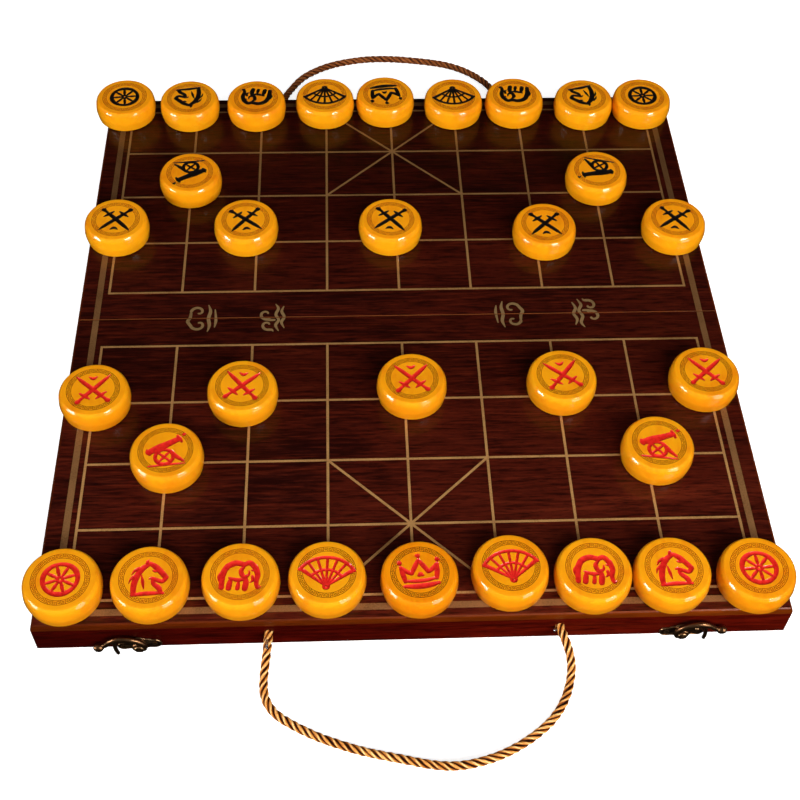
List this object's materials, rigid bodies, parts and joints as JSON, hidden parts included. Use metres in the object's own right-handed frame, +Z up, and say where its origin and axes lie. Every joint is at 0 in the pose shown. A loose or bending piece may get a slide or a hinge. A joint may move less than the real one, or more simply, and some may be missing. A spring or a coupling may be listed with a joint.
{
  "type": "folding chess box",
  "caption": "Folding wooden chess box lying open as a playing board: two hinged trays with swing-hook latches, rope carrying handles and round barrel-sided playing pieces.",
  "frame": {"origin": "on the table, below the middle of the open board, at the seam", "axes": "+X to the right along the files' row and the hinge line, +Y from the latch side to the far side, +Z up out of the playing surface"},
  "size_m": [0.5035, 0.7086, 0.0514],
  "materials": {
    "board_panel": "dark rosewood under clear gloss lacquer, with tan inlaid grid lines",
    "board_rail": "dark red-brown stained wood, satin lacquer",
    "hinge_brass": "satin",
    "hinge_screw": "satin",
    "steel_pin": "bright",
    "antique_bronze": "antique bronze with bright rubbed edges",
    "rope_gold": "twisted shiny cord",
    "rope_brown": "twisted shiny cord",
    "foot_felt": "matt felt",
    "piece_amber_red": "amber lacquered wood with a red carved mark",
    "piece_amber_black": "amber lacquered wood with a black carved mark"
  },
  "bodies": {
    "back_half": {"back_panel": "board_panel", "back_end_rail": "board_rail", "back_hinge_rail": "board_rail", "back_side_rails": "board_rail", "hinge_leaves_back": "hinge_brass", "hinge_pins": "steel_pin", "hinge_screws_back": "hinge_screw", "catch_plates": "antique_bronze", "catch_screws": "antique_bronze", "rear_rope_knots": "rope_brown", "feet_back": "foot_felt"},
    "front_half": {"front_panel": "board_panel", "front_end_rail": "board_rail", "front_hinge_rail": "board_rail", "front_side_rails": "board_rail", "hinge_leaves_front": "hinge_brass", "hinge_screws_front": "hinge_screw", "latch_plates": "antique_bronze", "latch_rivets": "antique_bronze", "latch_screws": "antique_bronze", "front_rope_knots": "rope_gold", "feet_front": "foot_felt"},
    "handle_front": {"front_rope_handle": "rope_gold", "front_rope_pins": "steel_pin"},
    "handle_rear": {"rear_rope_handle": "rope_brown"},
    "latch_left": {"latch_left_hook": "antique_bronze"},
    "latch_right": {"latch_right_hook": "antique_bronze"},
    "red_chariot_left": {"red_chariot_left": "piece_amber_red"},
    "red_horse_left": {"red_horse_left": "piece_amber_red"},
    "red_elephant_left": {"red_elephant_left": "piece_amber_red"},
    "red_advisor_left": {"red_advisor_left": "piece_amber_red"},
    "red_general": {"red_general": "piece_amber_red"},
    "red_advisor_right": {"red_advisor_right": "piece_amber_red"},
    "red_elephant_right": {"red_elephant_right": "piece_amber_red"},
    "red_horse_right": {"red_horse_right": "piece_amber_red"},
    "red_chariot_right": {"red_chariot_right": "piece_amber_red"},
    "red_cannon_left": {"red_cannon_left": "piece_amber_red"},
    "red_cannon_right": {"red_cannon_right": "piece_amber_red"},
    "red_soldier_1": {"red_soldier_1": "piece_amber_red"},
    "red_soldier_2": {"red_soldier_2": "piece_amber_red"},
    "red_soldier_3": {"red_soldier_3": "piece_amber_red"},
    "red_soldier_4": {"red_soldier_4": "piece_amber_red"},
    "red_soldier_5": {"red_soldier_5": "piece_amber_red"},
    "black_chariot_left": {"black_chariot_left": "piece_amber_black"},
    "black_horse_left": {"black_horse_left": "piece_amber_black"},
    "black_elephant_left": {"black_elephant_left": "piece_amber_black"},
    "black_advisor_left": {"black_advisor_left": "piece_amber_black"},
    "black_general": {"black_general": "piece_amber_black"},
    "black_advisor_right": {"black_advisor_right": "piece_amber_black"},
    "black_elephant_right": {"black_elephant_right": "piece_amber_black"},
    "black_horse_right": {"black_horse_right": "piece_amber_black"},
    "black_chariot_right": {"black_chariot_right": "piece_amber_black"},
    "black_cannon_left": {"black_cannon_left": "piece_amber_black"},
    "black_cannon_right": {"black_cannon_right": "piece_amber_black"},
    "black_soldier_1": {"black_soldier_1": "piece_amber_black"},
    "black_soldier_2": {"black_soldier_2": "piece_amber_black"},
    "black_soldier_3": {"black_soldier_3": "piece_amber_black"},
    "black_soldier_4": {"black_soldier_4": "piece_amber_black"},
    "black_soldier_5": {"black_soldier_5": "piece_amber_black"}
  },
  "joints": [
    {"name": "board_fold", "type": "hinge", "parent": "back_half", "child": "front_half", "pos_m": [0, 0, 0.00145], "axis": [1, 0, 0], "range_deg": [0, 180]},
    {"name": "handle_front_swing", "type": "hinge", "parent": "front_half", "child": "handle_front", "pos_m": [0, -0.2648, 0.0155], "axis": [-1, 0, 0], "range_deg": [0, 75]},
    {"name": "handle_rear_swing", "type": "hinge", "parent": "back_half", "child": "handle_rear", "pos_m": [0, 0.2648, 0.0155], "axis": [1, 0, 0], "range_deg": [0, 75]},
    {"name": "latch_left_swing", "type": "hinge", "parent": "front_half", "child": "latch_left", "pos_m": [-0.1788, -0.2643, 0.0076], "axis": [0, 1, 0], "range_deg": [-65, 60]},
    {"name": "latch_right_swing", "type": "hinge", "parent": "front_half", "child": "latch_right", "pos_m": [0.1758, -0.2643, 0.0076], "axis": [0, -1, 0], "range_deg": [-74, 51]},
    {"name": "lift_red_chariot_left", "type": "slide", "parent": "front_half", "child": "red_chariot_left", "axis": [0, 0, 1], "range_m": [0, 0.06]},
    {"name": "lift_red_horse_left", "type": "slide", "parent": "front_half", "child": "red_horse_left", "axis": [0, 0, 1], "range_m": [0, 0.06]},
    {"name": "lift_red_elephant_left", "type": "slide", "parent": "front_half", "child": "red_elephant_left", "axis": [0, 0, 1], "range_m": [0, 0.06]},
    {"name": "lift_red_advisor_left", "type": "slide", "parent": "front_half", "child": "red_advisor_left", "axis": [0, 0, 1], "range_m": [0, 0.06]},
    {"name": "lift_red_general", "type": "slide", "parent": "front_half", "child": "red_general", "axis": [0, 0, 1], "range_m": [0, 0.06]},
    {"name": "lift_red_advisor_right", "type": "slide", "parent": "front_half", "child": "red_advisor_right", "axis": [0, 0, 1], "range_m": [0, 0.06]},
    {"name": "lift_red_elephant_right", "type": "slide", "parent": "front_half", "child": "red_elephant_right", "axis": [0, 0, 1], "range_m": [0, 0.06]},
    {"name": "lift_red_horse_right", "type": "slide", "parent": "front_half", "child": "red_horse_right", "axis": [0, 0, 1], "range_m": [0, 0.06]},
    {"name": "lift_red_chariot_right", "type": "slide", "parent": "front_half", "child": "red_chariot_right", "axis": [0, 0, 1], "range_m": [0, 0.06]},
    {"name": "lift_red_cannon_left", "type": "slide", "parent": "front_half", "child": "red_cannon_left", "axis": [0, 0, 1], "range_m": [0, 0.06]},
    {"name": "lift_red_cannon_right", "type": "slide", "parent": "front_half", "child": "red_cannon_right", "axis": [0, 0, 1], "range_m": [0, 0.06]},
    {"name": "lift_red_soldier_1", "type": "slide", "parent": "front_half", "child": "red_soldier_1", "axis": [0, 0, 1], "range_m": [0, 0.06]},
    {"name": "lift_red_soldier_2", "type": "slide", "parent": "front_half", "child": "red_soldier_2", "axis": [0, 0, 1], "range_m": [0, 0.06]},
    {"name": "lift_red_soldier_3", "type": "slide", "parent": "front_half", "child": "red_soldier_3", "axis": [0, 0, 1], "range_m": [0, 0.06]},
    {"name": "lift_red_soldier_4", "type": "slide", "parent": "front_half", "child": "red_soldier_4", "axis": [0, 0, 1], "range_m": [0, 0.06]},
    {"name": "lift_red_soldier_5", "type": "slide", "parent": "front_half", "child": "red_soldier_5", "axis": [0, 0, 1], "range_m": [0, 0.06]},
    {"name": "lift_black_chariot_left", "type": "slide", "parent": "back_half", "child": "black_chariot_left", "axis": [0, 0, 1], "range_m": [0, 0.06]},
    {"name": "lift_black_horse_left", "type": "slide", "parent": "back_half", "child": "black_horse_left", "axis": [0, 0, 1], "range_m": [0, 0.06]},
    {"name": "lift_black_elephant_left", "type": "slide", "parent": "back_half", "child": "black_elephant_left", "axis": [0, 0, 1], "range_m": [0, 0.06]},
    {"name": "lift_black_advisor_left", "type": "slide", "parent": "back_half", "child": "black_advisor_left", "axis": [0, 0, 1], "range_m": [0, 0.06]},
    {"name": "lift_black_general", "type": "slide", "parent": "back_half", "child": "black_general", "axis": [0, 0, 1], "range_m": [0, 0.06]},
    {"name": "lift_black_advisor_right", "type": "slide", "parent": "back_half", "child": "black_advisor_right", "axis": [0, 0, 1], "range_m": [0, 0.06]},
    {"name": "lift_black_elephant_right", "type": "slide", "parent": "back_half", "child": "black_elephant_right", "axis": [0, 0, 1], "range_m": [0, 0.06]},
    {"name": "lift_black_horse_right", "type": "slide", "parent": "back_half", "child": "black_horse_right", "axis": [0, 0, 1], "range_m": [0, 0.06]},
    {"name": "lift_black_chariot_right", "type": "slide", "parent": "back_half", "child": "black_chariot_right", "axis": [0, 0, 1], "range_m": [0, 0.06]},
    {"name": "lift_black_cannon_left", "type": "slide", "parent": "back_half", "child": "black_cannon_left", "axis": [0, 0, 1], "range_m": [0, 0.06]},
    {"name": "lift_black_cannon_right", "type": "slide", "parent": "back_half", "child": "black_cannon_right", "axis": [0, 0, 1], "range_m": [0, 0.06]},
    {"name": "lift_black_soldier_1", "type": "slide", "parent": "back_half", "child": "black_soldier_1", "axis": [0, 0, 1], "range_m": [0, 0.06]},
    {"name": "lift_black_soldier_2", "type": "slide", "parent": "back_half", "child": "black_soldier_2", "axis": [0, 0, 1], "range_m": [0, 0.06]},
    {"name": "lift_black_soldier_3", "type": "slide", "parent": "back_half", "child": "black_soldier_3", "axis": [0, 0, 1], "range_m": [0, 0.06]},
    {"name": "lift_black_soldier_4", "type": "slide", "parent": "back_half", "child": "black_soldier_4", "axis": [0, 0, 1], "range_m": [0, 0.06]},
    {"name": "lift_black_soldier_5", "type": "slide", "parent": "back_half", "child": "black_soldier_5", "axis": [0, 0, 1], "range_m": [0, 0.06]}
  ]
}
